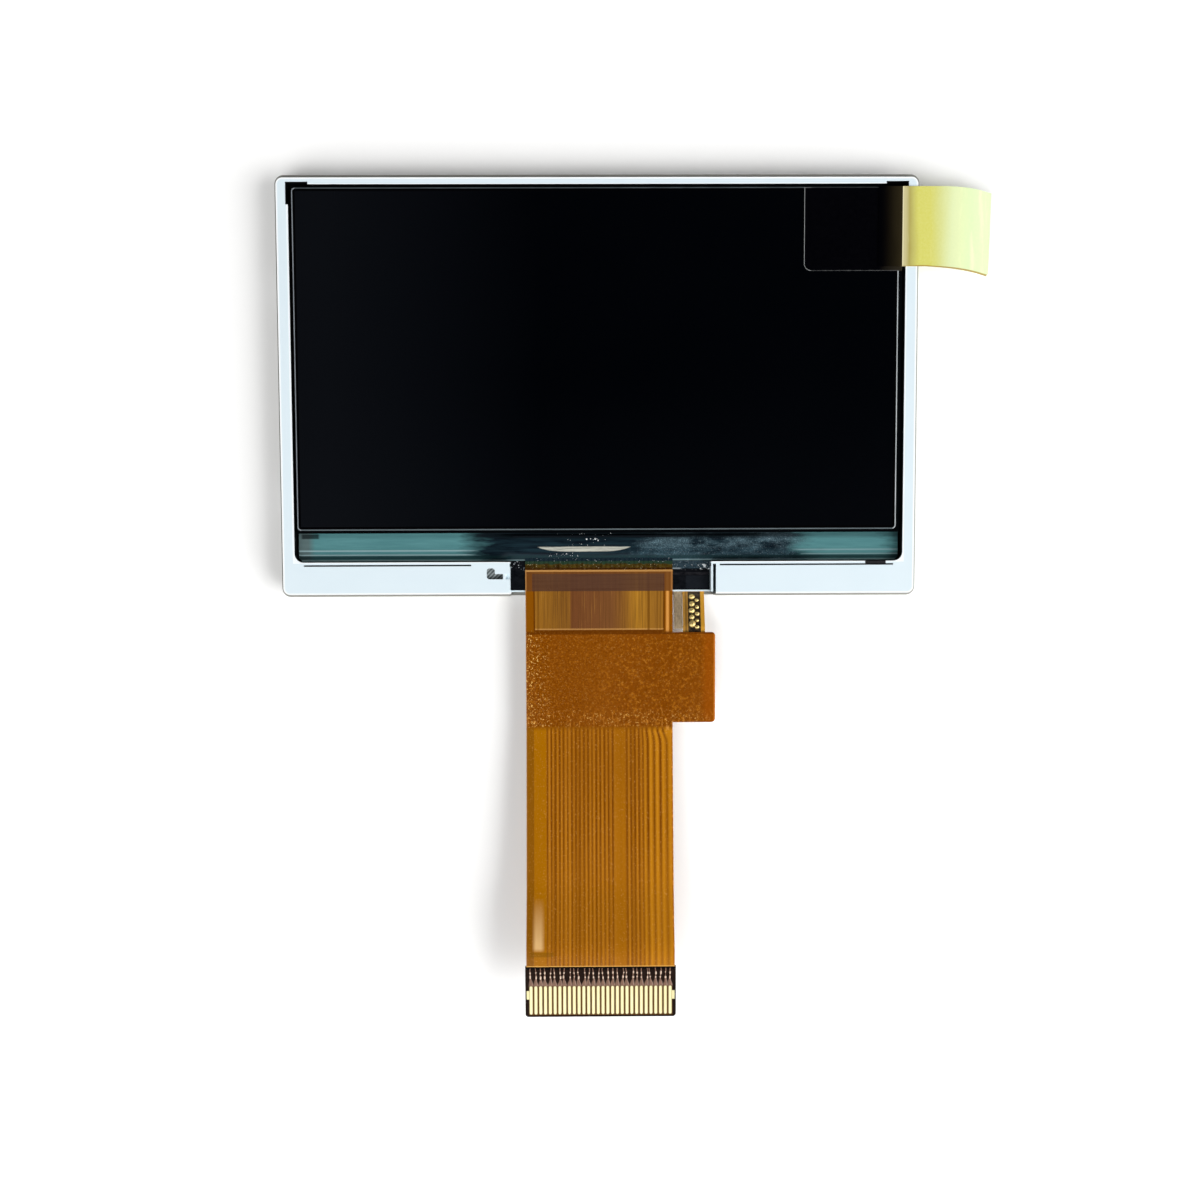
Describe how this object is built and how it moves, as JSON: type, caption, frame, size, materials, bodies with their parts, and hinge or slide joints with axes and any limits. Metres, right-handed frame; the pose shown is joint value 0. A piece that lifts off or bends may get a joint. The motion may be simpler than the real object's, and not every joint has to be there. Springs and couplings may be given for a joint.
{
  "type": "lcd display module",
  "caption": "small wide colour display module in a white frame with steel tray, flex tail with gold edge contacts and a film pull tab",
  "frame": {"origin": "middle of the module's flat back face, flex and tab left out", "axes": "+X along the long side, +Y away from the flex tail, +Z out of the screen"},
  "size_m": [0.0742, 0.0871, 0.0049],
  "materials": {
    "steel": "plain rolled steel sheet",
    "white_frame": "white moulded plastic, slightly glossy",
    "white_sheet": "matt white reflective sheet",
    "clear_plastic": "clear moulded plastic",
    "frosted_film": "frosted film",
    "black_tape": "black adhesive tape",
    "dark_film": "dark polarizing film",
    "ledge_glass": "glass ledge with thin metal lines, teal over the dark layer",
    "seal_resin": "cured resin",
    "crystal_layer": "thin layer between the glass plates",
    "dark_glass": "glass with a dark inner layer",
    "screen_film": "near black polarizing film",
    "clear_film": "thin clear film",
    "tab_film": "translucent yellow-green film",
    "silicon": "bare chip",
    "sealant": "dark cured coat",
    "amber_film": "amber film",
    "grey_tape": "grey translucent tape",
    "solder": "bright pale gold solder",
    "flex_film": "amber film",
    "cover_film": "amber film over copper",
    "copper": "copper foil",
    "stiffener": "dark brown plate",
    "gold": "gold plating",
    "bond_resin": "conductive film",
    "led_body": "white package",
    "ceramic_chip": "ceramic with tinned ends"
  },
  "bodies": {
    "root": {"back_tray": "steel", "backlight_frame": "white_frame", "reflector_sheet": "white_sheet", "light_guide": "clear_plastic", "diffuser_sheet": "frosted_film", "lower_prism_sheet": "frosted_film", "upper_prism_sheet": "frosted_film", "rim_tape": "black_tape", "rear_polarizer": "dark_film", "tft_glass": "ledge_glass", "cell_seal": "seal_resin", "liquid_crystal_layer": "crystal_layer", "colour_filter_glass": "dark_glass", "front_polarizer": "screen_film", "protective_film": "clear_film", "tab_patch": "clear_film", "pull_tab": "tab_film", "driver_chip": "silicon", "ledge_sealant": "sealant", "led_flex": "amber_film", "tail_tape": "grey_tape", "tail_solder_dots": "solder", "flex_base_film": "flex_film", "flex_copper": "copper", "flex_coverlay": "cover_film", "contact_stiffener": "stiffener", "contact_fingers": "gold", "contact_leads": "copper", "bond_film": "bond_resin", "flex_tape": "black_tape", "led_1": "led_body", "led_2": "led_body", "led_3": "led_body", "led_4": "led_body", "led_5": "led_body", "chip_capacitor_1": "ceramic_chip", "chip_capacitor_2": "ceramic_chip", "chip_capacitor_3": "ceramic_chip", "chip_capacitor_4": "ceramic_chip", "chip_capacitor_5": "ceramic_chip", "chip_capacitor_6": "ceramic_chip", "chip_capacitor_7": "ceramic_chip", "chip_capacitor_8": "ceramic_chip"}
  },
  "joints": []
}
